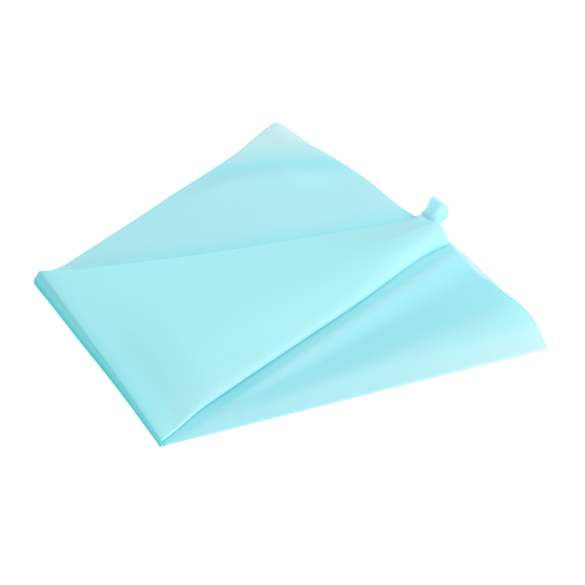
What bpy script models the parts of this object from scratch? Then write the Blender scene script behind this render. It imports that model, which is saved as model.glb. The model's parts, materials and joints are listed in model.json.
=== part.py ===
"""A reusable piping bag of soft film, laid flat and folded once across its middle.

The bag is a cone that is pressed flat: two equal walls, each a piece of a ring
sector, joined along both sides. It is open at the wide mouth and at the narrow
tip, where a nozzle goes. The mouth half lies on the table. The tip half is
folded over on top of it and turns about the fold's outer edge. A strip of film
makes a hanging loop at the middle of the mouth.

Metres, +Z up. The fold runs along Y and the mouth points to +X. Points are
first placed with the fold crossing the bag's centre line at x = y = 0, and then
moved so that the origin is the centre of the bottom of the whole bag's box.
"""

from math import cos, pi, radians, sin, tan

import bmesh
import bpy
from mathutils import Vector

# The flat pattern of one wall: a ring sector about the cone's own point.
MOUTH_RADIUS = 0.398
TIP_RADIUS = 0.048
HALF_ANGLE = radians(14.86)
FILM = 0.0004
GAP = 0.0003

# The fold: its distance from the cone's point, its turn from square, its height at both ends.
FOLD_RADIUS = 0.2235
FOLD_TWIST = radians(3.0)
FOLD_EDGE_X = -0.0012
FOLD_HEIGHT_THICK_END = 0.0078
FOLD_HEIGHT_THIN_END = 0.0028

# Where the two halves meet above the table at the tip, and how far the walls stand up.
PARTING_AT_TIP = 0.0023
SLEEVE_HEIGHT = 0.0078
MOUTH_CORNER_HEIGHT = 0.0057
CORNER_REACH = 0.024
CORNER_CLEAR = 0.012
CORNER_START = 0.25
CORNER_RUN = 0.6
SIDE_ROUNDING = 0.12

# The lap seam down the middle of the front wall, and the loop's welded tail.
SEAM_WIDTH = 0.009
SEAM_LAYER = 0.0004
TAIL_LENGTH = 0.012
TAIL_LAYER = 0.0006
SEAM_ROOM = 0.0009
MOUTH_CHANNEL = 0.0085
TIP_CHANNEL = 0.0055

# The hanging loop: a strip bent into a teardrop that stands out from the mouth.
STRIP_WIDTH = 0.0096
LOOP_CENTRE_Y = 0.0066
LOOP_FILM = 0.0006
LOOP_PATH_FROM_ROOT = (
    (0.0000, 0.0000),
    (0.0009, 0.0006),
    (0.0016, 0.0022),
    (0.0020, 0.0040),
    (0.0026, 0.0061),
    (0.0040, 0.0084),
    (0.0054, 0.0091),
    (0.0072, 0.0088),
    (0.0088, 0.0072),
    (0.0093, 0.0044),
    (0.0084, 0.0018),
    (0.0060, 0.0002),
    (0.0030, -0.0006),
    (0.0000, -0.0008),
)

BEND_STEPS = 4
LENGTH_STEPS = 11
STRIP_STEPS = 2
SIDE_SHARES = (0.0, 0.18, 0.36, 0.54, 0.70, 0.82, 0.91, 0.97, 1.0)
CHANNEL_SLOPE = 1.5

CONE_POINT = Vector((-FOLD_RADIUS * cos(FOLD_TWIST), -FOLD_RADIUS * sin(FOLD_TWIST)))


def corner(radius, angle):
    """A point of the flat pattern, in the mouth half's own plane."""
    turned = FOLD_TWIST + angle
    return CONE_POINT + Vector((radius * cos(turned), radius * sin(turned)))


FOLD_FAR_Y = CONE_POINT.y - CONE_POINT.x * tan(FOLD_TWIST + HALF_ANGLE)
FOLD_NEAR_Y = CONE_POINT.y - CONE_POINT.x * tan(FOLD_TWIST - HALF_ANGLE)
FOLD_TILT = (FOLD_HEIGHT_THICK_END - FOLD_HEIGHT_THIN_END) / 2 / (FOLD_FAR_Y - FOLD_NEAR_Y)
HINGE_Z = FOLD_HEIGHT_THICK_END / 2 - FOLD_TILT * FOLD_FAR_Y

# The round bend takes up film, which draws the tip half back and turns it a little.
TIP_DRAWN_BACK = (pi - 2) * HINGE_Z - 2 * FOLD_EDGE_X
TIP_TURN = (pi - 2) * FOLD_TILT

MOUTH_EDGE_X = CONE_POINT.x + MOUTH_RADIUS
LOOP_ROOT_X = MOUTH_EDGE_X + 2 * GAP
LOOP_ROOT_Z = PARTING_AT_TIP - GAP - TAIL_LAYER / 2
LOOP_PATH = [(LOOP_ROOT_X + x, LOOP_ROOT_Z + z) for x, z in LOOP_PATH_FROM_ROOT]
LOOP_REACH = max(x for x, _ in LOOP_PATH) + LOOP_FILM / 2

ORIGIN = Vector((
    (FOLD_EDGE_X + LOOP_REACH) / 2,
    (corner(MOUTH_RADIUS, HALF_ANGLE).y + corner(MOUTH_RADIUS, -HALF_ANGLE).y) / 2,
    0.0,
))


def smooth(value):
    """0 below 0, 1 above 1, and an even S between."""
    value = min(max(value, 0.0), 1.0)
    return value * value * (3 - 2 * value)


def hinge_height(y):
    """Height of the fold's outer edge above the table, which is also its bend radius."""
    return HINGE_Z + FOLD_TILT * y


def bend_centre_x(y):
    return FOLD_EDGE_X + hinge_height(y)


def on_mouth_half(radius, angle):
    return corner(radius, angle)


def on_tip_half(radius, angle):
    """The pattern beyond the fold, turned over onto the mouth half and drawn back."""
    flat = corner(radius, angle)
    over = Vector((-flat.x, flat.y))
    x = over.x * cos(TIP_TURN) - over.y * sin(TIP_TURN)
    y = over.x * sin(TIP_TURN) + over.y * cos(TIP_TURN)
    return Vector((x - TIP_DRAWN_BACK, y))


MOUTH_HALF = (on_mouth_half, MOUTH_RADIUS, MOUTH_CHANNEL)
TIP_HALF = (on_tip_half, TIP_RADIUS, TIP_CHANNEL)


def start_radius(place, angle):
    """Pattern radius at which a half leaves the fold's round bend."""
    at_zero = place(0.0, angle)
    step = place(1.0, angle) - at_zero
    return (FOLD_EDGE_X + hinge_height(at_zero.y) - at_zero.x) / (step.x - FOLD_TILT * step.y)


def parting_height(x, y):
    """Height of the surface between the mouth half below and the tip half above."""
    far = x / MOUTH_EDGE_X
    return hinge_height(y) * (1 - far) + PARTING_AT_TIP * far


def edge_distance(x, y):
    """How far a point of the mouth half lies outside the tip half that covers it."""
    far = x / MOUTH_EDGE_X
    left = FOLD_FAR_Y + (on_tip_half(TIP_RADIUS, HALF_ANGLE).y - FOLD_FAR_Y) * far
    right = FOLD_NEAR_Y + (on_tip_half(TIP_RADIUS, -HALF_ANGLE).y - FOLD_NEAR_Y) * far
    return max(y - left, right - y)


def seam_share(place, x, y, half_width):
    """1 on the line down the middle of a half, and 0 beyond a channel beside it."""
    near = place(MOUTH_RADIUS, 0.0)
    along = (place(TIP_RADIUS, 0.0) - near).normalized()
    offset = Vector((x, y)) - near
    aside = abs(offset.x * along.y - offset.y * along.x)
    return 1 - smooth((aside - half_width) / (half_width * (CHANNEL_SLOPE - 1)))


def mouth_front(length, x, y):
    """Top of the mouth half: low under the tip half and the seam, raised at both corners."""
    under_seam = SEAM_ROOM * seam_share(on_mouth_half, x, y, MOUTH_CHANNEL)
    low = parting_height(x, y) - GAP - under_seam
    beside_tip = smooth((edge_distance(x, y) - CORNER_CLEAR) / CORNER_REACH)
    near_mouth = smooth((length - CORNER_START) / CORNER_RUN)
    return low + (MOUTH_CORNER_HEIGHT - low) * beside_tip * near_mouth


def tip_front(x, y):
    """Underside of the tip half, raised over the seam on its outer face."""
    over_seam = SEAM_ROOM * seam_share(on_tip_half, x, y, TIP_CHANNEL)
    return parting_height(x, y) + GAP / 2 + over_seam


def tip_back(length, x, y):
    """Top of the tip half: the fold's height at the bend, a puffed sleeve at the tip."""
    rise = (1 - length) * hinge_height(y) + length * length * SLEEVE_HEIGHT
    return parting_height(x, y) + rise


def station(place, end_radius, length, angle):
    """The plan position at a share of the way from the bend to the open end."""
    start = start_radius(place, angle)
    return place(start + (end_radius - start) * length, angle)


def shares(count):
    return [step / count for step in range(count + 1)]


def columns(radius, channel):
    """Places across a half, from -1 to 1, with a few at the edges of the seam's channel."""
    inner = channel / (radius * HALF_ANGLE)
    outer = inner * CHANNEL_SLOPE
    side = [inner] + [outer + (1 - outer) * share for share in SIDE_SHARES]
    return [-across for across in reversed(side)] + [0.0] + side


def half_rows(half, height, inset=0.0):
    """Rows of points of one layer of a half, from the bend to the open end."""
    place, end_radius, channel = half
    rows = []
    start = start_radius(place, 0.0)
    for length in shares(LENGTH_STEPS):
        radius = start + (end_radius - start) * length
        row = []
        for across in columns(radius, channel):
            angle = across * (HALF_ANGLE - inset / radius)
            at = station(place, end_radius, length, angle)
            row.append(Vector((at.x, at.y, height(length, across, at.x, at.y))))
        rows.append(row)
    return rows


def arched(top, base, inset):
    """Height of a layer that lies under top and whose two sides curl down to base."""
    def height(length, across, x, y):
        curl = max(1 - across * across, 0.0) ** SIDE_ROUNDING
        low = base(x, y)
        high = max(top(length, x, y) - inset, low)
        return low + (high - low) * curl
    return height


def bend_rows(first_row, inset, upper):
    """Quarter of the round bend, from the hinge line to where a layer's rows begin."""
    rows = []
    for share in shares(BEND_STEPS)[:-1]:
        turn = share * pi / 2
        row = []
        for end in first_row:
            edge = hinge_height(end.y) + (GAP / 2 if upper else -GAP / 2)
            x = end.x - (end.x - FOLD_EDGE_X - inset) * cos(turn)
            row.append(Vector((x, end.y, edge + (end.z - edge) * sin(turn))))
        rows.append(row)
    return rows


def layer_body(name, outer, inner, material):
    """One closed body between two equal grids of points."""
    mesh = bpy.data.meshes.new(name)
    builder = bmesh.new()
    skins = [[[builder.verts.new(point - ORIGIN) for point in row] for row in grid]
             for grid in (outer, inner)]
    last_row = len(outer) - 1
    last_column = len(outer[0]) - 1
    for skin in skins:
        for row in range(last_row):
            for column in range(last_column):
                builder.faces.new((skin[row][column], skin[row][column + 1],
                                   skin[row + 1][column + 1], skin[row + 1][column]))
    top, bottom = skins
    for column in range(last_column):
        for row in (0, last_row):
            builder.faces.new((top[row][column], top[row][column + 1],
                               bottom[row][column + 1], bottom[row][column]))
    for row in range(last_row):
        for column in (0, last_column):
            builder.faces.new((top[row][column], top[row + 1][column],
                               bottom[row + 1][column], bottom[row][column]))
    bmesh.ops.recalc_face_normals(builder, faces=builder.faces)
    builder.to_mesh(mesh)
    builder.free()
    mesh.shade_smooth()
    mesh.set_sharp_from_angle(angle=radians(40))
    mesh.materials.append(material)
    body = bpy.data.objects.new(name, mesh)
    bpy.context.scene.collection.objects.link(body)
    return body


def make_material(name, colour, roughness):
    material = bpy.data.materials.new(name)
    material.use_nodes = True
    shader = material.node_tree.nodes["Principled BSDF"]
    shader.inputs["Base Color"].default_value = (*colour, 1.0)
    shader.inputs["Roughness"].default_value = roughness
    shader.inputs["Metallic"].default_value = 0.0
    return material


def mouth_half_back_wall(material):
    outer = half_rows(MOUTH_HALF, lambda length, across, x, y: 0.0)
    inner = half_rows(MOUTH_HALF, lambda length, across, x, y: FILM)
    outer = bend_rows(outer[0], 0.0, False) + outer
    inner = bend_rows(inner[0], FILM, False) + inner
    return layer_body("mouth_half_back_wall", outer, inner, material)


def mouth_half_front_wall(material):
    def base(x, y):
        return FILM + GAP
    outer = half_rows(MOUTH_HALF, arched(mouth_front, base, 0.0))
    inner = half_rows(MOUTH_HALF, arched(mouth_front, base, FILM), FILM)
    return layer_body("mouth_half_front_wall", outer, inner, material)


def tip_half_front_wall(material):
    outer = half_rows(TIP_HALF, lambda length, across, x, y: tip_front(x, y))
    inner = half_rows(TIP_HALF, lambda length, across, x, y: tip_front(x, y) + FILM)
    return layer_body("tip_half_front_wall", outer, inner, material)


def tip_half_back_wall(material):
    def base(x, y):
        return tip_front(x, y) + FILM + GAP

    outer = half_rows(TIP_HALF, arched(tip_back, base, 0.0))
    inner = half_rows(TIP_HALF, arched(tip_back, base, FILM), FILM)
    outer = bend_rows(outer[0], 0.0, True) + outer
    inner = bend_rows(inner[0], FILM, True) + inner
    return layer_body("tip_half_back_wall", outer, inner, material)


def strip_rows(place, radii, half_width, height, aside=0.0):
    """Rows of points of a narrow strip along the middle of a half."""
    rows = []
    for length in shares(LENGTH_STEPS):
        radius = radii[0] + (radii[1] - radii[0]) * length
        row = []
        for step in shares(STRIP_STEPS):
            at = place(radius, (aside + half_width * (2 * step - 1)) / radius)
            row.append(Vector((at.x, at.y, height(at.x, at.y))))
        rows.append(row)
    return rows


def mouth_half_seam(material):
    """The film's second edge, welded over the first along the front wall."""
    radii = (start_radius(on_mouth_half, 0.0), MOUTH_RADIUS - TAIL_LENGTH - GAP)

    def under(x, y):
        return parting_height(x, y) - SEAM_ROOM

    def over(x, y):
        return under(x, y) + SEAM_LAYER
    outer = strip_rows(on_mouth_half, radii, SEAM_WIDTH / 2, over)
    inner = strip_rows(on_mouth_half, radii, SEAM_WIDTH / 2, under)
    return layer_body("mouth_half_seam", outer, inner, material)


def tip_half_seam(material):
    radii = (start_radius(on_tip_half, 0.0), TIP_RADIUS)

    def over(x, y):
        return parting_height(x, y) + GAP / 2 + SEAM_ROOM - GAP

    def under(x, y):
        return over(x, y) - SEAM_LAYER
    outer = strip_rows(on_tip_half, radii, SEAM_WIDTH / 2, under)
    inner = strip_rows(on_tip_half, radii, SEAM_WIDTH / 2, over)
    return layer_body("tip_half_seam", outer, inner, material)


def loop_tail(material):
    """Both ends of the loop's strip, welded flat on the front wall at the mouth."""
    radii = (MOUTH_RADIUS - TAIL_LENGTH, MOUTH_RADIUS)
    aside = LOOP_CENTRE_Y - on_mouth_half(MOUTH_RADIUS, 0.0).y

    def under(x, y):
        return parting_height(x, y) - GAP - TAIL_LAYER

    def over(x, y):
        return under(x, y) + TAIL_LAYER
    outer = strip_rows(on_mouth_half, radii, STRIP_WIDTH / 2, over, aside)
    inner = strip_rows(on_mouth_half, radii, STRIP_WIDTH / 2, under, aside)
    return layer_body("loop_tail", outer, inner, material)


def offset_path(path, distance):
    """The path moved sideways in its own plane, to its left as it runs."""
    moved = []
    for index, (x, z) in enumerate(path):
        before = path[max(index - 1, 0)]
        after = path[min(index + 1, len(path) - 1)]
        along = Vector((after[0] - before[0], after[1] - before[1])).normalized()
        moved.append((x - along.y * distance, z + along.x * distance))
    return moved


def loop_rows(distance):
    """Rows of points of the loop's strip, across its width at each point of its path."""
    rows = []
    for x, z in offset_path(LOOP_PATH, distance):
        edges = (LOOP_CENTRE_Y - STRIP_WIDTH / 2, LOOP_CENTRE_Y + STRIP_WIDTH / 2)
        rows.append([Vector((x, y, z)) for y in edges])
    return rows


def hanging_loop(material):
    """The free part of the strip, which turns about the root where it leaves the mouth."""
    body = layer_body("hanging_loop", loop_rows(LOOP_FILM / 2), loop_rows(-LOOP_FILM / 2), material)
    pivot = Vector((LOOP_ROOT_X, LOOP_CENTRE_Y, LOOP_ROOT_Z)) - ORIGIN
    put_origin(body, pivot)
    return body


def put_origin(body, point):
    """Move an object's origin without moving its mesh."""
    for vertex in body.data.vertices:
        vertex.co -= point
    body.location = point


def main():
    for old in list(bpy.data.objects):
        bpy.data.objects.remove(old, do_unlink=True)
    film = make_material("film", (0.35, 0.82, 0.88), 0.45)
    weld = make_material("weld", (0.30, 0.76, 0.83), 0.35)
    strip = make_material("strip", (0.32, 0.80, 0.86), 0.40)
    mouth_half_back_wall(film)
    mouth_half_front_wall(film)
    mouth_half_seam(weld)
    hinge = Vector((FOLD_EDGE_X, 0.0, HINGE_Z)) - ORIGIN
    for body in (tip_half_front_wall(film), tip_half_back_wall(film), tip_half_seam(weld)):
        put_origin(body, hinge)
    loop_tail(strip)
    hanging_loop(strip)


main()
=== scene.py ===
"""How the piping bag looks: thin frosted turquoise film, pressed flat and folded once.

The film is one tube from the mouth to the tip. Its shape is worked out here on a
grid that follows the bag's flat pattern, then cut into the mouth half, the fold and
the tip half, so that the fold can bend while both halves stay as they are.
"""

import json
from math import cos, pi, radians, sin, sqrt

import bmesh
import bpy
import numpy as np
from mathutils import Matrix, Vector


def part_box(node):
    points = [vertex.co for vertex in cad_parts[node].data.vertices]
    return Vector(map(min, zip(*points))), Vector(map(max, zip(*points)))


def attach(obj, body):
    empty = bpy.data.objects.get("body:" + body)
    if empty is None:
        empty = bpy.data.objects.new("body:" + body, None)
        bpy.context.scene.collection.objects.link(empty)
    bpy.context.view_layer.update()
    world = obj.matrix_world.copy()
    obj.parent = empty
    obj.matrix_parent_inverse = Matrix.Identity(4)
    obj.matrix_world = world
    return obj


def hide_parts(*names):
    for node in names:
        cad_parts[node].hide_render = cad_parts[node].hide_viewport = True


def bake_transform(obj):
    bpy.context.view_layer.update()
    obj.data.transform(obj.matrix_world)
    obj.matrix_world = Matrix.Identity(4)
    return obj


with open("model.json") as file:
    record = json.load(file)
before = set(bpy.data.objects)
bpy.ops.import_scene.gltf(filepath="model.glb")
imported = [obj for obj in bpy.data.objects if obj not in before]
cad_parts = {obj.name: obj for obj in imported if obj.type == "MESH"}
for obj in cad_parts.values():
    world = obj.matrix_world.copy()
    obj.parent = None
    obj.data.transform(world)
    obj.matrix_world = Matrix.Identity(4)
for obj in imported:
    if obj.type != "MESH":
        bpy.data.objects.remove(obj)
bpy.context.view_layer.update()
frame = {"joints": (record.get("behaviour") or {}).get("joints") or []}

MM = 0.001

# The flat pattern of one wall, as the CAD has it.
MOUTH_RADIUS = 398 * MM
TIP_RADIUS = 48 * MM
HALF_ANGLE = radians(14.86)
FOLD_RADIUS = 223.5 * MM
FOLD_TWIST = radians(3.0)
FILM = 0.4 * MM

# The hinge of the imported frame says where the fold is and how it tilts.
HINGE = next(joint for joint in frame["joints"] if joint["name"] == "fold_hinge")
HINGE_POINT = Vector(HINGE["pos_m"])
FOLD_TILT = HINGE["axis"][2] / HINGE["axis"][1]
FOLD_EDGE_X = -1.2 * MM
HINGE_Z = HINGE_POINT.z
LOOP_JOINT = next(joint for joint in frame["joints"] if joint["name"] == "loop_flex")
LOOP_ROOT = LOOP_JOINT["pos_m"]
ORIGIN_X = FOLD_EDGE_X - HINGE_POINT.x
ORIGIN_Y = -HINGE_POINT.y

# How the layers lie on each other.
PARTING_AT_TIP = 2.3 * MM
LAYER_GAP = 0.32 * MM
INNER_BEND = 0.45 * MM
SEAM_BEND = 0.5 * MM
FOLD_CROWDING = 2.4
FOLD_TOP = 0.92
FOLD_SET_IN = 0.13
FOLD_BEND = 0.22
FOLD_START_LEAN = radians(8)
FOLD_LEAN = radians(60)
FOLD_RUN_OUT = 1.9
FULLER_FAR_END = 3.1 * MM
FOLD_END_SWELL = 0.4 * MM
FOLD_INSET = 0.2 * MM
SEAM_WIDTH = 9 * MM
SEAM_DIP = 0.85 * MM

# Places along and across the film at which the grid is set out.
MOUTH_ROWS = 96
FOLD_ROWS = 41
TIP_ROWS = 110
WALL_COLUMNS = 96
SIDE_COLUMNS = 9
SIDE_START = 0.985
NEAR_SIDE_IN = 0.003
BEND_START = MOUTH_ROWS - 1
BEND_END = BEND_START + FOLD_ROWS - 1
FRONT_MIDDLE = WALL_COLUMNS + SIDE_COLUMNS + WALL_COLUMNS // 2

CONE_X = -FOLD_RADIUS * cos(FOLD_TWIST)
CONE_Y = -FOLD_RADIUS * sin(FOLD_TWIST)
TIP_DRAWN_BACK = (pi - 2) * HINGE_Z - 2 * FOLD_EDGE_X
TIP_TURN = (pi - 2) * FOLD_TILT
MOUTH_EDGE_X = CONE_X + MOUTH_RADIUS

# The crease across the far mouth corner, and the ridge beside the tip half.
RIDGE_AT = 3.0 * MM
FLAP_LINE = ((106.0 * MM, 93.5 * MM), (165.0 * MM, 73.0 * MM))
FLAP_LINE_BEND = 6.0 * MM
FLAP_LIFT = 3.7 * MM

# The tip half, which opens into an oval sleeve at its cut end.
SLEEVE_HALF_HEIGHT = 3.45 * MM
SLEEVE_LENGTH = 80 * MM
SLEEVE_SKEW = 0.5
SLEEVE_DROP = 1.1 * MM
SLEEVE_NEAR_DROP = 1.5 * MM
SLEEVE_FAR_DROP = 0.2 * MM
SLEEVE_NARROWING = 0.15
TIP_CUT_BULGE = 1.5 * MM
NEAR_EDGE_IN = 2.2 * MM

# Depth of colour where the film lies in two layers, and in four.
DEPTH_TWO_LAYERS = 0.30
DEPTH_FOUR_LAYERS = 0.40

# The lap seam, and the loop with its welded tail.
SEAM_FILM = 0.4 * MM
SEAM_CLEAR = 0.02 * MM
SEAM_DEPTH = 0.08
TAIL_FILM = 0.5 * MM
TAIL_ROWS = 24
LOOP_FILM = 0.6 * MM
LOOP_WIDTH = 9.6 * MM
LOOP_CUP = 0.5 * MM
LOOP_FLARE = 0.12
LOOP_ROWS = 72
LOOP_COLUMNS = 19
LOOP_DEPTH = 0.08
LOOP_DEPTH_LOW = 0.20
LOOP_DEPTH_OVER = 0.40
LOOP_PATH = (
    (-0.3 * MM, 0.0 * MM),
    (0.8 * MM, 0.5 * MM),
    (1.8 * MM, 1.5 * MM),
    (2.5 * MM, 3.0 * MM),
    (3.1 * MM, 4.7 * MM),
    (3.9 * MM, 6.4 * MM),
    (4.8 * MM, 7.7 * MM),
    (5.8 * MM, 8.2 * MM),
    (6.7 * MM, 7.7 * MM),
    (7.3 * MM, 6.4 * MM),
    (7.6 * MM, 4.4 * MM),
    (7.5 * MM, 2.3 * MM),
    (6.8 * MM, 0.2 * MM),
    (4.8 * MM, -0.9 * MM),
    (1.8 * MM, -1.1 * MM),
    (-0.3 * MM, -0.8 * MM),
)
LOOP_TILT = 0.5 * MM
LOOP_THROUGH = 0.70

# One round light, a bright surround, and the colours of the film by depth. The brighter green at 0.40
# is painted light on the tip half; the deeper colours above it carry the bend and painted shade.
WORLD_STRENGTH = 0.72
KEY_POWER = 13.0
KEY_AZIMUTH = radians(-32)
KEY_ELEVATION = radians(36)
KEY_DISTANCE = 1.4
KEY_SIZE = 0.6
FLOOR_COLOUR = (0.72, 0.72, 0.72)
FLOOR_GLOW = 0.6
FILM_COLOURS = (
    (0.00, (0.66, 0.88, 0.91)),
    (0.30, (0.47, 0.89, 0.95)),
    (0.40, (0.455, 0.945, 0.985)),
    (0.55, (0.37, 0.89, 0.95)),
    (0.78, (0.24, 0.89, 0.94)),
    (1.00, (0.11, 0.71, 0.77)),
)
# The mouth half's copy, without the brighter green at 0.40 and greyer at 0.55: its two layers, and
# painted shade on the lower layer.
MOUTH_COLOURS = (
    (0.00, (0.66, 0.88, 0.91)),
    (0.30, (0.47, 0.89, 0.95)),
    (0.55, (0.37, 0.86, 0.93)),
    (1.00, (0.11, 0.71, 0.77)),
)
FILM_THROUGH = 0.22
CLOUD_SCALE = 14.0
CLOUD_SHIFT = 0.02
GRAIN_SCALE = 1400.0
GRAIN_STRENGTH = 0.12
GRAIN_HEIGHT = 0.00008
FILM_ROUGHNESS = (0.5, 0.68)
THROUGH_PALENESS = 0.6
FLOOR_HALF = 3.0
FLOOR_Z = -0.0001

# The camera: its lens, and where it stands round the bag.
CAMERA_LENS = 95.8
CAMERA_AZIMUTH = -31.69
CAMERA_ELEVATION = 39.71
CAMERA_DISTANCE = 0.6885
CAMERA_TARGET = (0.0942, -0.0042)


# ---------------------------------------------------------------- small helpers

def smooth(value):
    """0 below 0, 1 above 1, and an even S between."""
    value = np.clip(value, 0.0, 1.0)
    return value * value * (3 - 2 * value)


def hump(value):
    """A bell that is 1 at 0 and near 0 beyond 2."""
    return np.exp(-value * value)


def mix(low, high, share):
    return low + (high - low) * share


# ---------------------------------------------------------------- flat pattern

def mouth_plan(radius, angle):
    turned = FOLD_TWIST + angle
    return CONE_X + radius * np.cos(turned), CONE_Y + radius * np.sin(turned)


def tip_plan(radius, angle):
    """The pattern beyond the fold, turned over and drawn back by the round bend."""
    x, y = mouth_plan(radius, angle)
    x = -x
    turned_x = x * cos(TIP_TURN) - y * sin(TIP_TURN)
    turned_y = x * sin(TIP_TURN) + y * cos(TIP_TURN)
    return turned_x - TIP_DRAWN_BACK, turned_y


def hinge_height(y):
    return HINGE_Z + FOLD_TILT * y


def start_radius(plan, angle):
    """Pattern radius at which a half leaves the fold's round bend."""
    x0, y0 = plan(0.0, angle)
    x1, y1 = plan(1.0, angle)
    return (FOLD_EDGE_X + hinge_height(y0) - x0) / (x1 - x0 - FOLD_TILT * (y1 - y0))


def parting_height(x, y):
    """The surface between the mouth half below and the tip half above."""
    far = x / MOUTH_EDGE_X
    plane = hinge_height(y) * (1 - far) + PARTING_AT_TIP * far
    left, _ = outside_tip(x, y)
    presses = hump((left + 4 * MM) / (16 * MM)) * smooth((x - 20 * MM) / (50 * MM))
    return plane - 1.2 * MM * presses * smooth((175 * MM - x) / (60 * MM))


def beside_middle(plan, x, y):
    """Distance from the line down the middle of a half, which the seam follows."""
    ax, ay = plan(MOUTH_RADIUS, 0.0)
    bx, by = plan(TIP_RADIUS, 0.0)
    length = sqrt((bx - ax) ** 2 + (by - ay) ** 2)
    return np.abs((x - ax) * (by - ay) - (y - ay) * (bx - ax)) / length


def seam_room(plan, x, y, half_width):
    """How far a front wall stands back along its middle, where the CAD has its seam."""
    aside = beside_middle(plan, x, y)
    return SEAM_DIP * (1 - smooth((aside - half_width) / (half_width * 0.7)))


def outside_tip(x, y):
    """Distance outside the tip half's left and right edges, in plan."""
    far = x / MOUTH_EDGE_X
    far_y = CONE_Y - CONE_X * np.tan(FOLD_TWIST + HALF_ANGLE)
    near_y = CONE_Y - CONE_X * np.tan(FOLD_TWIST - HALF_ANGLE)
    left = far_y + (tip_plan(TIP_RADIUS, HALF_ANGLE)[1] - far_y) * far
    right = near_y + (tip_plan(TIP_RADIUS, -HALF_ANGLE)[1] - near_y) * far
    return y - left, right - y


# ---------------------------------------------------------------- mouth half

def beside(x, y, start, end):
    """Distance to the left of a line in plan, and the share of the way along it."""
    along_x = end[0] - start[0]
    along_y = end[1] - start[1]
    length = sqrt(along_x ** 2 + along_y ** 2)
    from_x = x - start[0]
    from_y = y - start[1]
    left = (along_x * from_y - along_y * from_x) / length
    return left, (along_x * from_x + along_y * from_y) / length ** 2


def front_recess(angle):
    """How much shorter the front wall stands at the mouth than the back wall."""
    degrees = np.degrees(angle)
    far_corner = 6.5 * MM * hump((degrees - 13.2) / 1.3)
    near_side = 3.6 * MM * hump((degrees + 5.3) / 2.7)
    return far_corner + near_side + 0.2 * MM


def mouth_radius_at(angle, front):
    """Radius of the cut mouth, drawn in a little beside the loop."""
    notch = 2.6 * MM * hump((np.degrees(angle) - 1.9) / 3.3)
    return MOUTH_RADIUS - notch - front * front_recess(angle)


def past_crease(x, y):
    """Distance beyond the crease across the far mouth corner, and the share along it.

    The crease bends back towards the mouth.
    """
    left, along = beside(x, y, FLAP_LINE[0], FLAP_LINE[1])
    return left + FLAP_LINE_BEND * smooth((along - 0.45) / 0.7), along


def corner_lift(x, y):
    """The far mouth corner turns up beyond the crease that runs across it."""
    inside, _ = past_crease(x, y)
    return FLAP_LIFT * smooth((inside - 12 * MM) / (20 * MM))


def mouth_back_height(radius, angle, x, y):
    """Middle of the wall that lies on the table, its edge raised a little near the loop."""
    lip = 1.2 * MM * hump((np.degrees(angle) + 7.2) / 3.6) * smooth((radius - 376 * MM) / (22 * MM))
    return FILM / 2 + corner_lift(x, y) + lip


def mouth_side_height(radius, angle):
    """Distance between the two walls where they turn into each other at the sides."""
    share = smooth((radius - FOLD_RADIUS) / (MOUTH_RADIUS - FOLD_RADIUS))
    near = mix(0.6, 0.9, share) * MM
    far = mix(0.7, 0.6, share) * MM
    return np.where(angle < 0, near, far)


def mouth_far_side(radius, angle, x, y):
    """Height of the front wall above the back wall on the side of the far corner."""
    crease, along = past_crease(x, y)
    ends = smooth(along + 1.2) * smooth((1.0 - along) / 0.5)
    far = (HALF_ANGLE - angle) * radius
    roll = 2.3 * MM * hump((crease + 13 * MM) / (8.5 * MM)) * ends
    roll = roll * mix(0.3, 1.0, smooth(far / (16 * MM)))
    flap = 0.9 * MM * hump((crease - 22 * MM) / (12 * MM))
    return 0.6 * MM + roll + flap


def mouth_near_side(radius, angle, x, y, contact):
    """Height of the front wall between the tip half's right edge and the near side.

    It stands up beside the tip half, dips, and swells again before it comes down
    to the side, most of all at the mouth's near corner.
    """
    near = (HALF_ANGLE + angle) * radius
    _, right = outside_tip(x, y)
    width = np.maximum(near + right, 1 * MM)
    share = np.clip(right / width, 0, 1)
    grown = smooth(x / (120 * MM))
    opened = smooth((radius - 300 * MM) / (98 * MM))
    side = FILM / 2 + mouth_side_height(radius, angle)
    line = mix(contact, 1.9 * MM, smooth(share * 2.2))
    ridge = 0.9 * MM * grown * hump((right - RIDGE_AT - 0.03 * width) / (5.5 * MM))
    trough = 1.0 * MM * grown * hump((share - 0.26) / 0.12)
    swell = 1.5 * MM * grown * hump((share - 0.70) / 0.17)
    spread = np.where(near < 11 * MM, 12 * MM, 22 * MM)
    crest = 3.4 * MM * opened * hump((near - 11 * MM) / spread)
    down = smooth(near / (13 * MM)) ** 0.6
    return mix(side, line + ridge - trough + swell + crest, down)


def mouth_front_height(radius, angle, x, y):
    back = mouth_back_height(radius, angle, x, y)
    contact = parting_height(x, y) - LAYER_GAP
    under = contact - seam_room(mouth_plan, x, y, 8.5 * MM)
    # The seam lies between the two walls here, so they keep room for it.
    under = np.maximum(under, back + FILM + SEAM_FILM + 2 * SEAM_CLEAR)
    from_side = (HALF_ANGLE - np.abs(angle)) * radius
    low = back + mouth_side_height(radius, angle)
    under = mix(low, under, smooth(from_side / (11 * MM)) ** 0.5)
    left, right = outside_tip(x, y)
    far_side = back + mouth_far_side(radius, angle, x, y)
    near_side = mouth_near_side(radius, angle, x, y, contact)
    leaves_bend = smooth((x - FOLD_EDGE_X - hinge_height(y)) / (14 * MM))
    height = mix(under, far_side, smooth((left + 1 * MM) / (16 * MM)) * leaves_bend)
    return mix(height, near_side, smooth((right + 1.5 * MM) / (3 * MM)) * leaves_bend)


# ---------------------------------------------------------------- tip half

def sleeve_share(radius):
    """0 where the tip half lies flat, 1 at the open tip, where it is an oval sleeve."""
    return smooth(1 - (radius - TIP_RADIUS) / SLEEVE_LENGTH)


def sleeve_round(across):
    """Half height of the oval sleeve, fullest a little to the near side of its middle."""
    skewed = across + SLEEVE_SKEW * (1 - across ** 2)
    return SLEEVE_HALF_HEIGHT * np.sqrt(np.maximum(1 - skewed ** 2, 0))


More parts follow.
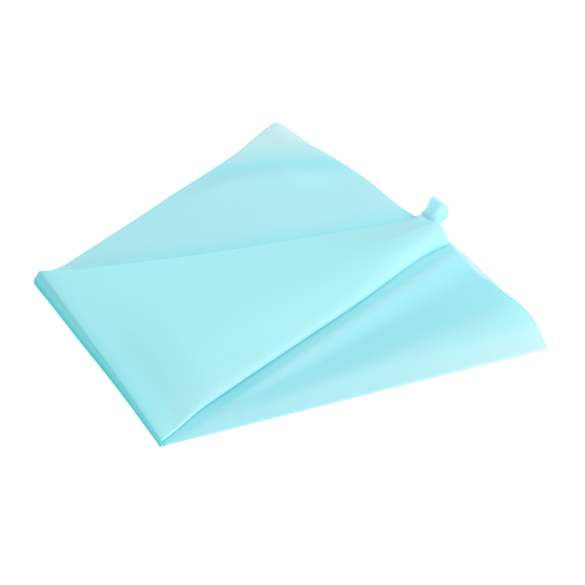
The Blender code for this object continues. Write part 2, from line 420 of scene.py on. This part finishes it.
def sleeve_drop(across):
    sides = np.where(across < 0, SLEEVE_NEAR_DROP, SLEEVE_FAR_DROP)
    return SLEEVE_DROP * np.abs(across) + sides * across ** 2


def tip_front_height(radius, angle, x, y):
    """Middle of the tip half's underside."""
    across = angle / HALF_ANGLE
    bottom = parting_height(x, y) + LAYER_GAP
    near = (HALF_ANGLE + angle) * radius
    leaves_bend = smooth((x - FOLD_EDGE_X - hinge_height(y)) / (60 * MM))
    curl = 0.5 * MM * hump(near / (9 * MM)) * leaves_bend
    oval = bottom + SLEEVE_HALF_HEIGHT - sleeve_round(across) - sleeve_drop(across)
    return mix(bottom + curl, oval, sleeve_share(radius))


def tip_seam_room(radius, x, y):
    """The rise along the middle of the underside, where the CAD has its seam."""
    return seam_room(tip_plan, x, y, 5.5 * MM) * (1 - 0.6 * sleeve_share(radius))


def tip_thickness(radius, angle, x, y):
    """Height of the tip half's upper wall above its underside."""
    across = angle / HALF_ANGLE
    near = (HALF_ANGLE + angle) * radius
    far = (HALF_ANGLE - angle) * radius
    leaves_bend = smooth((x - FOLD_EDGE_X - hinge_height(y)) / (34 * MM))
    stays_up = smooth((far - 4 * MM) / (30 * MM))
    leaves_bend = mix(np.clip(x / (90 * MM), 0, 1) ** 0.8, leaves_bend, stays_up)
    at_bend = hinge_height(y) - FILM / 2 - LAYER_GAP
    side = mix(0.9 * MM, 1.2 * MM, smooth(0.5 - across))
    rounded = np.sqrt(1 - np.clip(1 - near / (32 * MM), 0, 1) ** 2)
    crown = 4.0 * MM * mix(0.35, 1.0, smooth(far / (60 * MM)))
    free = side + crown * rounded * smooth((far + 3 * MM) / (14 * MM))
    oval = 2 * sleeve_round(across)
    return mix(mix(at_bend, free, leaves_bend), oval, sleeve_share(radius))


# ---------------------------------------------------------------- the film's grid

def loop_columns():
    """Once round the tube: (share of the way from back to front wall, place across)."""
    wall = np.sin(np.linspace(-pi / 2, pi / 2, WALL_COLUMNS)) * SIDE_START
    turn = np.linspace(0, pi, SIDE_COLUMNS + 2)[1:-1]
    rise = (1 - np.cos(turn)) / 2
    out = SIDE_START + (1 - SIDE_START) * np.sin(turn)
    front = np.concatenate([np.zeros(WALL_COLUMNS), rise, np.ones(WALL_COLUMNS), rise[::-1]])
    near_out = out - NEAR_SIDE_IN * np.sin(turn)
    across = np.concatenate([wall, out, wall[::-1], -near_out])
    return front, across


FRONT, ACROSS = loop_columns()


def narrowing(radius):
    """An open oval is narrower than the same tube pressed flat."""
    return 1 - SLEEVE_NARROWING * sleeve_share(radius) ** 1.5


def mouth_rows():
    """Points of the mouth half, from its cut edge to where the bend begins."""
    shares = np.linspace(1, 0, MOUTH_ROWS) ** 1.25
    angle = np.broadcast_to(ACROSS * HALF_ANGLE, (MOUTH_ROWS, len(ACROSS)))
    start = start_radius(mouth_plan, angle)
    edge = mouth_radius_at(angle, FRONT)
    radius = mix(start, edge, shares[:, None])
    x, y = mouth_plan(radius, angle)
    back = mouth_back_height(radius, angle, x, y)
    front = mouth_front_height(radius, angle, x, y)
    bend_back = FILM / 2
    bend_front = hinge_height(y) - inner_bend(y)
    settle = smooth(shares[:, None] * 9)
    back = mix(bend_back, back, settle)
    front = mix(bend_front, front, settle)
    return np.stack([x, y, mix(back, front, FRONT)], axis=-1), radius, angle


def tip_cut(angle):
    """Radius of the cut tip, which stands out a little on the near side of its middle."""
    return TIP_RADIUS - TIP_CUT_BULGE * hump((angle / HALF_ANGLE + 0.38) / 0.36)


def tip_rows():
    """Points of the tip half, from the bend to its cut end."""
    shares = np.linspace(0, 1, TIP_ROWS) ** 1.2
    angle = np.broadcast_to(ACROSS * HALF_ANGLE, (TIP_ROWS, len(ACROSS)))
    start = start_radius(tip_plan, angle)
    radius = mix(start, tip_cut(angle), shares[:, None])
    x, y = tip_plan(radius, angle * narrowing(radius))
    y = y + FULLER_FAR_END * hump(x / (9 * MM)) * smooth(angle / HALF_ANGLE)
    drawn_in = smooth(x / (26 * MM)) * smooth((176 * MM - x) / (22 * MM))
    y = y + NEAR_EDGE_IN * drawn_in * smooth(-1.6 * angle / HALF_ANGLE - 0.6)
    under = tip_front_height(radius, angle, x, y)
    over = under + tip_thickness(radius, angle, x, y)
    under = under + tip_seam_room(radius, x, y)
    height = hinge_height(y)
    past_bend = (x - FOLD_EDGE_X - height) / (FOLD_RUN_OUT * height)
    short = (1 - FOLD_TOP) * height * np.clip(1 - past_bend, 0, 1) ** 2
    settle = smooth(shares[:, None] * 9)
    under = mix(hinge_height(y) + inner_bend(y), under, settle)
    over = mix(2 * height - FILM / 2, over, settle) - short
    return np.stack([x, y, mix(over, under, FRONT)], axis=-1), radius, angle


def inner_bend(y):
    """Radius of the inner wall's bend, wider at its middle than at its ends."""
    middle_y = CONE_Y - CONE_X * np.tan(FOLD_TWIST)
    return INNER_BEND + SEAM_BEND * (1 - smooth((np.abs(y - middle_y) - 5.5 * MM) / (4 * MM)))


def fold_profile():
    """The outer wall round the fold: tight at the table, then leaning back to the top.

    Distances are shares of the fold's half height, from its edge and its middle.
    """
    flat = [(1 - (1 - FOLD_SET_IN - FOLD_BEND) * step / 8, -1.0) for step in range(8)]
    middle = (FOLD_SET_IN + FOLD_BEND, FOLD_BEND - 1)
    arc = np.linspace(pi / 2, -FOLD_START_LEAN, 14)
    tight = [(middle[0] - FOLD_BEND * cos(turn), middle[1] - FOLD_BEND * sin(turn)) for turn in arc]
    first = tight[-1]
    run = (1 - first[0]) / (cos(FOLD_START_LEAN) - cos(FOLD_LEAN))
    climb = (FOLD_TOP - first[1]) / (sin(FOLD_LEAN) - sin(FOLD_START_LEAN))
    lean = [(
        first[0] + run * (cos(FOLD_START_LEAN) - cos(turn)),
        first[1] + climb * (sin(turn) - sin(FOLD_START_LEAN)),
    ) for turn in np.linspace(FOLD_START_LEAN, FOLD_LEAN, 60)[1:]]
    return np.array(flat + tight + lean)


def fold_rows(mouth_end, tip_end):
    """Points round the bend, from the mouth half's last row to the tip half's first.

    Rows are close together half-way up, where the film opens when it is unfolded.
    """
    profile = fold_profile()
    length = np.concatenate([[0], np.cumsum(np.linalg.norm(np.diff(profile, axis=0), axis=1))])
    half_way = np.interp(0.0, profile[:, 1], length)
    rows = []
    for place in np.linspace(-1, 1, FOLD_ROWS):
        run = half_way if place < 0 else length[-1] - half_way
        at = half_way + np.sign(place) * run * abs(place) ** FOLD_CROWDING
        aside = np.interp(at, length, profile[:, 0])
        rise = np.interp(at, length, profile[:, 1])
        y = mix(mouth_end[:, 1], tip_end[:, 1], smooth((place + 1) / 2))
        low_down = smooth((place + 1) / 0.25) * (1 - smooth((place + 0.9) / 1.6))
        y = y + FOLD_END_SWELL * low_down * smooth(ACROSS)
        radius = hinge_height(y)
        inner = inner_bend(y)
        outer_x = FOLD_EDGE_X + radius - (1 - aside) * (radius - FILM / 2 - FOLD_INSET)
        outer_z = radius + rise * (radius - FILM / 2)
        inner_x = FOLD_EDGE_X + radius - inner * cos(place * pi / 2)
        inner_z = radius + inner * sin(place * pi / 2)
        x = mix(outer_x, inner_x, FRONT)
        z = mix(outer_z, inner_z, FRONT)
        rows.append(np.stack([x, y, z], axis=-1))
    return np.array(rows)


def fold_bow(x, y):
    """The fold is not quite straight: it bows in at its middle and out at its far end."""
    inward = 0.75 * MM * hump((y + 22 * MM) / (33 * MM))
    outward = 0.35 * MM * smooth((y - 40 * MM) / (18 * MM))
    return (inward - outward) * (1 - smooth(x / (25 * MM)))


def film_grid():
    """The whole film's points, with the depth of colour at each of them."""
    mouth, mouth_radius, mouth_angle = mouth_rows()
    tip, tip_radius, tip_angle = tip_rows()
    fold = fold_rows(mouth[-1], tip[0])
    fold[0] = mouth[-1]
    fold[-1] = tip[0]
    grid = np.concatenate([mouth[:-1], fold, tip[1:]])
    depth = np.concatenate([
        mouth_depth(mouth, mouth_radius, mouth_angle)[:-1],
        fold_depth(fold),
        tip_depth(tip, tip_radius, tip_angle)[1:],
    ])
    grid[..., 0] += fold_bow(grid[..., 0], grid[..., 1]) - ORIGIN_X
    grid[..., 1] -= ORIGIN_Y
    return grid, depth


# ---------------------------------------------------------------- depth of colour, with painted light and shade

def near_fold_depth(x, z, y):
    """Deeper colour at the fold: deepest in the tight bend, partly the film seen edge-on through its
    layers and partly painted shade on the bend's side turned from the light, and a little deeper, as
    painted shade, on the film on its way there and at the fold's thick end.
    """
    edge = 1 - smooth((x - FOLD_EDGE_X) / (hinge_height(y) * 2.4))
    low = 1 - smooth(z / (2.9 * hinge_height(y)))
    thick_end = smooth((30 * MM - y) / (40 * MM))
    wide = 0.05 * hump((x - FOLD_EDGE_X) / (14 * MM))
    return 0.60 * edge * low + wide + 0.09 * thick_end * hump((x - FOLD_EDGE_X) / (10 * MM))


def mouth_depth(points, radius, angle):
    x, y, z = points[..., 0], points[..., 1], points[..., 2]
    left, right = outside_tip(x, y)
    # Four layers' depth under the tip half, running out over 5 mm beside its edges as painted shade on
    # the mouth half.
    under_tip_and_shade = 1 - smooth(np.maximum(left, right) / (5 * MM))
    depth = mix(DEPTH_TWO_LAYERS, DEPTH_FOUR_LAYERS, under_tip_and_shade)
    crease, _ = past_crease(x, y)
    # Painted light: the lifted flap beyond the crease is paler.
    flap = 0.2 * smooth((crease - 2 * MM) / (20 * MM))
    near = (HALF_ANGLE + angle) * radius
    # Painted light: paler towards the mouth's near corner.
    corner = 0.17 * hump(near / (10 * MM)) * smooth((radius - 280 * MM) / (118 * MM))
    rim = 0.05 * hump((MOUTH_RADIUS - radius) / (10 * MM))
    # Painted shade: deeper colour along the tip half's far edge, in the crease across the far corner,
    # in the dip beside the tip half's near edge, by the fold, and in a band just beside that edge.
    painted_shade = 0.15 * hump(left / (10 * MM)) * smooth((x - 8 * MM) / (40 * MM))
    painted_shade = np.maximum(painted_shade, 0.16 * hump(crease / (6 * MM)))
    across = np.clip(right / np.maximum(near + right, 1 * MM), 0, 1)
    valley = smooth((right - 2 * MM) / (9 * MM)) * (1 - smooth((across - 0.46) / 0.34))
    by_fold = hump(right / (7 * MM)) * hump((x - 40 * MM) / (22 * MM))
    by_edge = smooth((right + 9 * MM) / (4 * MM)) * (1 - smooth((right - 0.4 * MM) / (2.6 * MM)))
    valley = valley * smooth((x - 12 * MM) / (50 * MM))
    painted_shade = np.maximum(painted_shade, 0.22 * valley + 0.14 * by_fold + 0.12 * by_edge)
    past_front = smooth((radius - mouth_radius_at(angle, 1.0) + 1 * MM) / (1.4 * MM))
    single = past_front * smooth(front_recess(angle) / (1.5 * MM) - 0.4)
    depth = np.clip(depth + painted_shade - flap - corner - rim, 0.05, 1)
    leaves_bend = 1 - smooth((x - FOLD_EDGE_X - hinge_height(y)) / (3 * MM))
    return mix(depth, 0.04, single * (1 - FRONT)) + near_fold_depth(x, z, y) * leaves_bend


def fold_depth(points):
    x, y, z = points[..., 0], points[..., 1], points[..., 2]
    return DEPTH_FOUR_LAYERS + near_fold_depth(x, z, y)


def tip_depth(points, radius, angle):
    x, y, z = points[..., 0], points[..., 1], points[..., 2]
    # Painted light: paler towards the open tip, and a painted highlight along the tip half's near
    # edge.
    painted_light = 0.10 * smooth(1 - (radius - TIP_RADIUS) / (60 * MM))
    near = (HALF_ANGLE + angle) * radius
    painted_light = np.maximum(painted_light, 0.09 * hump(near / (12 * MM)))
    return DEPTH_FOUR_LAYERS - painted_light + near_fold_depth(x, z, y)


def grid_normals(grid):
    """Unit normals of the grid. They point into the tube."""
    along = np.gradient(grid, axis=0)
    around = np.roll(grid, -1, axis=1) - np.roll(grid, 1, axis=1)
    normal = np.cross(around, along)
    return normal / np.maximum(np.linalg.norm(normal, axis=-1, keepdims=True), 1e-12)


def shell_faces(rows, columns, closed):
    """Faces of a thin shell: the skin on the normals' side, the other, then the cut edges."""
    inside = rows * columns
    steps = columns if closed else columns - 1
    faces = []
    for row in range(rows - 1):
        for column in range(steps):
            a = row * columns + column
            b = row * columns + (column + 1) % columns
            c = a + columns
            d = b + columns
            faces.append((a, b, d, c))
            faces.append((inside + a, inside + c, inside + d, inside + b))
    last = (rows - 1) * columns
    for a in range(steps):
        b = (a + 1) % columns
        faces.append((b, a, inside + a, inside + b))
        faces.append((last + a, last + b, inside + last + b, inside + last + a))
    if not closed:
        for row in range(rows - 1):
            a = row * columns
            c = a + columns
            faces.append((a, c, inside + c, inside + a))
            a += columns - 1
            c += columns - 1
            faces.append((c, a, inside + a, inside + c))
    return faces


def shell_body(name, grid, normal, thickness, closed=True):
    """A closed thin body round a grid of points, shaded by the whole film's normals."""
    rows, columns = grid.shape[:2]
    outer = (grid + normal * thickness / 2).reshape(-1, 3)
    inner = (grid - normal * thickness / 2).reshape(-1, 3)
    mesh = bpy.data.meshes.new(name)
    mesh.from_pydata(np.concatenate([outer, inner]).tolist(), [], shell_faces(rows, columns, closed))
    mesh.shade_smooth()
    body = bpy.data.objects.new(name, mesh)
    bpy.context.scene.collection.objects.link(body)
    skins = np.concatenate([normal.reshape(-1, 3), -normal.reshape(-1, 3)])
    skin_faces = 2 * (rows - 1) * (columns if closed else columns - 1)
    loop_vertex = np.zeros(len(mesh.loops), int)
    mesh.loops.foreach_get("vertex_index", loop_vertex)
    loop_normal = skins[loop_vertex]
    loop_normal[skin_faces * 4:] = 0.0
    mesh.normals_split_custom_set(loop_normal.tolist())
    return body


# ---------------------------------------------------------------- scene

def make_camera():
    data = bpy.data.cameras.new("camera")
    data.lens = CAMERA_LENS
    data.sensor_width = 36
    camera = bpy.data.objects.new("camera", data)
    bpy.context.scene.collection.objects.link(camera)
    azimuth = radians(CAMERA_AZIMUTH)
    elevation = radians(CAMERA_ELEVATION)
    back = Vector((sin(azimuth) * cos(elevation), -cos(azimuth) * cos(elevation), sin(elevation)))
    target = Vector((CAMERA_TARGET[0] - ORIGIN_X, CAMERA_TARGET[1] - ORIGIN_Y, 0.0))
    camera.location = target + back * CAMERA_DISTANCE
    camera.rotation_mode = "QUATERNION"
    camera.rotation_quaternion = (-back).to_track_quat("-Z", "Y")
    bpy.context.scene.camera = camera


def add_value(body, name, values):
    """A number at each vertex, which the material reads."""
    attribute = body.data.attributes.new(name, "FLOAT", "POINT")
    attribute.data.foreach_set("value", np.asarray(values, np.float32))


def use_material(body, material):
    body.data.materials.append(material)


def film_material(name, colours, thin):
    """Frosted film: matt, faintly grained, lit through, deeper in colour where it is bent, with
    painted light and shade carried in its depth.
    """
    material = bpy.data.materials.new(name)
    material.use_nodes = True
    nodes = material.node_tree.nodes
    link = material.node_tree.links.new
    shader = nodes["Principled BSDF"]
    output = nodes["Material Output"]
    place = nodes.new("ShaderNodeTexCoord")

    cloud = nodes.new("ShaderNodeTexNoise")
    cloud.inputs["Scale"].default_value = CLOUD_SCALE
    cloud.inputs["Detail"].default_value = 3.0
    link(place.outputs["Object"], cloud.inputs["Vector"])
    grain = nodes.new("ShaderNodeTexNoise")
    grain.inputs["Scale"].default_value = GRAIN_SCALE
    grain.inputs["Detail"].default_value = 2.0
    link(place.outputs["Object"], grain.inputs["Vector"])

    cloud_range = nodes.new("ShaderNodeMapRange")
    cloud_range.inputs["From Min"].default_value = 0.3
    cloud_range.inputs["From Max"].default_value = 0.7
    cloud_range.inputs["To Min"].default_value = -CLOUD_SHIFT
    cloud_range.inputs["To Max"].default_value = CLOUD_SHIFT
    link(cloud.outputs["Fac"], cloud_range.inputs["Value"])

    # The depth attribute holds the film's layers and bend, and also painted light and shade.
    bend = nodes.new("ShaderNodeAttribute")
    bend.attribute_name = "depth"
    depth = nodes.new("ShaderNodeMath")
    depth.operation = "ADD"
    depth.use_clamp = True
    link(bend.outputs["Fac"], depth.inputs[0])
    link(cloud_range.outputs["Result"], depth.inputs[1])

    colour = nodes.new("ShaderNodeValToRGB")
    ramp = colour.color_ramp
    while len(ramp.elements) < len(colours):
        ramp.elements.new(0.5)
    for element, (position, shade) in zip(ramp.elements, colours):
        element.position = position
        element.color = (*shade, 1.0)
    link(depth.outputs["Value"], colour.inputs["Fac"])
    link(colour.outputs["Color"], shader.inputs["Base Color"])

    rough = nodes.new("ShaderNodeMapRange")
    rough.inputs["To Min"].default_value = FILM_ROUGHNESS[0]
    rough.inputs["To Max"].default_value = FILM_ROUGHNESS[1]
    link(cloud.outputs["Fac"], rough.inputs["Value"])
    link(rough.outputs["Result"], shader.inputs["Roughness"])
    shader.inputs["Specular IOR Level"].default_value = 0.3

    bump = nodes.new("ShaderNodeBump")
    bump.inputs["Strength"].default_value = GRAIN_STRENGTH
    bump.inputs["Distance"].default_value = GRAIN_HEIGHT
    link(grain.outputs["Fac"], bump.inputs["Height"])
    link(bump.outputs["Normal"], shader.inputs["Normal"])

    through = nodes.new("ShaderNodeBsdfTranslucent")
    clear = nodes.new("ShaderNodeMix")
    clear.data_type = "RGBA"
    clear.inputs["Factor"].default_value = THROUGH_PALENESS
    clear.inputs["B"].default_value = (1.0, 1.0, 1.0, 1.0)
    link(colour.outputs["Color"], clear.inputs["A"])
    link(clear.outputs["Result"], through.inputs["Color"])
    blend = nodes.new("ShaderNodeMixShader")
    blend.inputs["Fac"].default_value = thin
    link(shader.outputs["BSDF"], blend.inputs[1])
    link(through.outputs["BSDF"], blend.inputs[2])
    link(blend.outputs["Shader"], output.inputs["Surface"])
    return material


def make_floor():
    mesh = bpy.data.meshes.new("floor")
    half = FLOOR_HALF
    corners = [(-half, -half, 0), (half, -half, 0), (half, half, 0), (-half, half, 0)]
    mesh.from_pydata(corners, [], [(0, 1, 2, 3)])
    floor = bpy.data.objects.new("floor", mesh)
    floor.location.z = FLOOR_Z
    bpy.context.scene.collection.objects.link(floor)
    material = bpy.data.materials.new("floor")
    material.use_nodes = True
    shader = material.node_tree.nodes["Principled BSDF"]
    shader.inputs["Base Color"].default_value = (*FLOOR_COLOUR, 1.0)
    shader.inputs["Roughness"].default_value = 0.9
    shader.inputs["Specular IOR Level"].default_value = 0.0
    shader.inputs["Emission Color"].default_value = (1.0, 1.0, 1.0, 1.0)
    shader.inputs["Emission Strength"].default_value = FLOOR_GLOW
    mesh.materials.append(material)


def make_light(name, azimuth, elevation, distance, size, power):
    """A large round area light that faces the bag."""
    data = bpy.data.lights.new(name, "AREA")
    data.shape = "DISK"
    data.size = size
    data.energy = power
    light = bpy.data.objects.new(name, data)
    bpy.context.scene.collection.objects.link(light)
    away = Vector((cos(azimuth) * cos(elevation), sin(azimuth) * cos(elevation), sin(elevation)))
    light.location = away * distance
    light.rotation_mode = "QUATERNION"
    light.rotation_quaternion = (-away).to_track_quat("-Z", "Y")


def make_world():
    world = bpy.data.worlds.new("studio")
    bpy.context.scene.world = world
    world.use_nodes = True
    background = world.node_tree.nodes["Background"]
    background.inputs["Color"].default_value = (1.0, 1.0, 1.0, 1.0)
    background.inputs["Strength"].default_value = WORLD_STRENGTH
    view = bpy.context.scene.view_settings
    view.view_transform = "Standard"
    view.look = "None"


# ---------------------------------------------------------------- pieces

def film_pieces(materials):
    """The film in three pieces that share their end rows at the fold."""
    parts = {
        "film_mouth_half": (0, BEND_START),
        "film_fold": (BEND_START, BEND_END),
        "film_tip_half": (BEND_END, len(GRID) - 1),
    }
    made = {}
    for name, (first, last) in parts.items():
        rows = slice(first, last + 1)
        body = shell_body(name, GRID[rows], NORMALS[rows], FILM)
        add_value(body, "depth", np.tile(DEPTH[rows].ravel(), 2))
        use_material(body, materials[name])
        made[name] = body
    return made


def front_strip(rows, offsets, lift):
    """Points on the inner face of the front wall, at set distances from its middle.

    They lie inside the tube, because that is where the grid's normals point. The CAD
    has the seam and the loop's tail on the other face of this wall.
    """
    front = slice(WALL_COLUMNS + SIDE_COLUMNS, 2 * WALL_COLUMNS + SIDE_COLUMNS)
    across = ACROSS[front][::-1]
    points = []
    normals = []
    for row in rows:
        wall = GRID[row, front][::-1]
        facing = NORMALS[row, front][::-1]
        middle = [np.interp(0.0, across, wall[:, axis]) for axis in range(3)]
        aside = np.sign(across) * np.linalg.norm((wall - middle)[:, :2], axis=1)
        spots = np.stack([np.interp(offsets, aside, wall[:, axis]) for axis in range(3)], axis=-1)
        faces = np.stack([np.interp(offsets, aside, facing[:, axis]) for axis in range(3)], axis=-1)
        faces /= np.linalg.norm(faces, axis=-1, keepdims=True)
        points.append(spots + faces * lift)
        normals.append(faces)
    return np.array(points), np.array(normals)


def seam_offsets():
    """Places across the seam, with its two welded edges a little closer together."""
    half = SEAM_WIDTH / 2
    return np.array([-1.0, -0.96, -0.86, -0.6, -0.3, 0.0, 0.3, 0.6, 0.86, 0.96, 1.0]) * half


def seam_piece(name, rows, material):
    """One length of the lap seam: a flat weld whose edges are thinner than its middle."""
    offsets = seam_offsets()
    bulge = 1 - 0.55 * smooth((np.abs(offsets) / (SEAM_WIDTH / 2) - 0.72) / 0.28)
    spots, faces = front_strip(rows, offsets, FILM / 2 + SEAM_CLEAR)
    upper = spots + faces * (SEAM_FILM * bulge)[None, :, None]
    body = two_skins(name, upper, spots)
    depth = np.repeat([DEPTH[row, FRONT_MIDDLE] for row in rows], len(offsets))
    add_value(body, "depth", np.tile(depth + SEAM_DEPTH, 2))
    use_material(body, material)
    return body


def two_skins(name, outer, inner):
    """A closed thin body between two equal grids of points."""
    rows, columns = outer.shape[:2]
    mesh = bpy.data.meshes.new(name)
    points = np.concatenate([outer.reshape(-1, 3), inner.reshape(-1, 3)])
    mesh.from_pydata(points.tolist(), [], shell_faces(rows, columns, False))
    mesh.validate()
    body = bpy.data.objects.new(name, mesh)
    bpy.context.scene.collection.objects.link(body)
    face_out(mesh)
    mesh.shade_smooth()
    mesh.set_sharp_from_angle(angle=radians(50))
    return body


def face_out(mesh):
    builder = bmesh.new()
    builder.from_mesh(mesh)
    bmesh.ops.recalc_face_normals(builder, faces=builder.faces)
    builder.to_mesh(mesh)
    builder.free()


def rounded_path(path, count):
    """Evenly spaced points of a smooth curve through a path's points."""
    knots = np.array(path)
    padded = np.vstack([2 * knots[0] - knots[1], knots, 2 * knots[-1] - knots[-2]])
    fine = []
    for index in range(1, len(padded) - 2):
        a, b, c, d = padded[index - 1:index + 3]
        for t in np.linspace(0, 1, 12, endpoint=False):
            fine.append(0.5 * (2 * b + (c - a) * t + (2 * a - 5 * b + 4 * c - d) * t * t
                               + (3 * b - a - 3 * c + d) * t ** 3))
    fine.append(padded[-2])
    fine = np.array(fine)
    length = np.concatenate([[0], np.cumsum(np.linalg.norm(np.diff(fine, axis=0), axis=1))])
    even = np.linspace(0, length[-1], count)
    return np.stack([np.interp(even, length, fine[:, axis]) for axis in range(2)], axis=-1), length[-1]


def loop_piece(material):
    """The hanging loop: a soft strip that leaves the mouth wide and folds over itself."""
    path, length = rounded_path(LOOP_PATH, LOOP_ROWS)
    along = np.gradient(path, axis=0)
    along /= np.linalg.norm(along, axis=1, keepdims=True)
    share = np.linspace(0, 1, LOOP_ROWS)
    root = hump(share / 0.12)
    offsets = np.linspace(-1, 1, LOOP_COLUMNS)
    skins = []
    for side in (1, -1):
        rows = []
        for index, (x, z) in enumerate(path):
            half = LOOP_WIDTH / 2 * (1 + LOOP_FLARE * root[index])
            lean = LOOP_WIDTH * 0.04 * root[index]
            tilt = LOOP_TILT * offsets * np.sin(pi * share[index])
            thick = LOOP_FILM / 2 * (1 - 0.5 * np.abs(offsets) ** 8)
            cup = LOOP_CUP * np.sin(pi * share[index]) * (offsets ** 2 - 0.4)
            off = side * thick + cup
            rows.append(np.stack([
                LOOP_ROOT[0] + x - along[index, 1] * off,
                LOOP_ROOT[1] + lean + offsets * half,
                LOOP_ROOT[2] + z + along[index, 0] * off - tilt,
            ], axis=-1))
        skins.append(np.array(rows))
    body = two_skins("loop_strip", skins[0], skins[1])
    low = np.outer(hump((share - 0.27) / 0.13), 1 - offsets ** 2)
    over = LOOP_DEPTH_OVER * smooth((share - 0.42) / 0.12)[:, None]
    add_value(body, "depth", np.tile((LOOP_DEPTH + LOOP_DEPTH_LOW * low + over).ravel(), 2))
    use_material(body, material)
    return body, length


def tail_piece(material):
    """Both ends of the loop's strip, inside the front wall and reaching out of the mouth."""
    low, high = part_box("loop_tail")
    rows = [row for row in range(TAIL_ROWS) if GRID[row, FRONT_MIDDLE, 0] > low.x]
    centre = (low.y + high.y) / 2 - GRID[0, FRONT_MIDDLE, 1]
    offsets = centre + np.linspace(-1, 1, 9) * (high.y - low.y) / 2
    lower, faces = front_strip(rows, offsets, FILM / 2 + SEAM_CLEAR)
    upper = lower + faces * TAIL_FILM
    reach_low = np.stack([
        np.full(9, LOOP_ROOT[0]), LOOP_ROOT[1] + np.linspace(-1, 1, 9) * LOOP_WIDTH / 2,
        np.full(9, LOOP_ROOT[2] - TAIL_FILM),
    ], axis=-1)
    skins = []
    for skin, lift in ((upper, TAIL_FILM), (lower, 0.0)):
        end = reach_low + np.array([0.0, 0.0, lift])
        between = [mix(end, skin[0], smooth(share)) for share in np.linspace(0, 1, 7)[:-1]]
        skins.append(np.concatenate([np.array(between), skin]))
    body = two_skins("loop_tail_weld", skins[0], skins[1])
    add_value(body, "depth", np.full(len(body.data.vertices), LOOP_DEPTH))
    use_material(body, material)
    return body


def flat_size(inner, outer):
    """Width and length of both walls between two pattern radii, cut as one piece."""
    spread = 2 * HALF_ANGLE
    return 2 * outer * sin(spread), outer - inner * cos(spread)


def flat_area(inner, outer):
    return 2 * HALF_ANGLE * (outer ** 2 - inner ** 2)


make_camera()
GRID, DEPTH = film_grid()
NORMALS = grid_normals(GRID)
make_floor()
make_world()
make_light("key", KEY_AZIMUTH, KEY_ELEVATION, KEY_DISTANCE, KEY_SIZE, KEY_POWER)

film = film_material("frosted_film", FILM_COLOURS, FILM_THROUGH)
two_layer_shaded_film = film_material("frosted_film_of_mouth", MOUTH_COLOURS, FILM_THROUGH)
made = film_pieces({
    "film_mouth_half": two_layer_shaded_film,
    "film_fold": film,
    "film_tip_half": film,
})
mouth_film = made["film_mouth_half"]
fold_film = made["film_fold"]
tip_film = made["film_tip_half"]

clear_of_tail = next(row for row in range(MOUTH_ROWS)
                     if GRID[row, FRONT_MIDDLE, 0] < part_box("loop_tail")[0].x)
mouth_seam = seam_piece("seam_mouth_half", range(clear_of_tail, BEND_START + 1), two_layer_shaded_film)
fold_seam = seam_piece("seam_fold", range(BEND_START, BEND_END + 1), film)
tip_seam = seam_piece("seam_tip_half", range(BEND_END, len(GRID)), film)
loop_film = film_material("frosted_loop", FILM_COLOURS, LOOP_THROUGH)
tail = tail_piece(loop_film)
loop, loop_length = loop_piece(loop_film)

for piece in (mouth_film, mouth_seam, tail):
    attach(piece, "mouth_half")
for piece in (tip_film, tip_seam):
    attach(piece, "tip_half")
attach(loop, "loop")
for piece in (fold_film, fold_seam):
    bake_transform(piece)

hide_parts("mouth_half_back_wall", "mouth_half_front_wall")
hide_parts("tip_half_front_wall", "tip_half_back_wall")
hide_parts("mouth_half_seam")
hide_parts("tip_half_seam")
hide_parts("loop_tail")
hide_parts("hanging_loop")

flat_size(start_radius(mouth_plan, 0.0), MOUTH_RADIUS)
flat_area(start_radius(mouth_plan, 0.0), MOUTH_RADIUS)
flat_size(TIP_RADIUS, start_radius(tip_plan, 0.0))
flat_area(TIP_RADIUS, start_radius(tip_plan, 0.0))
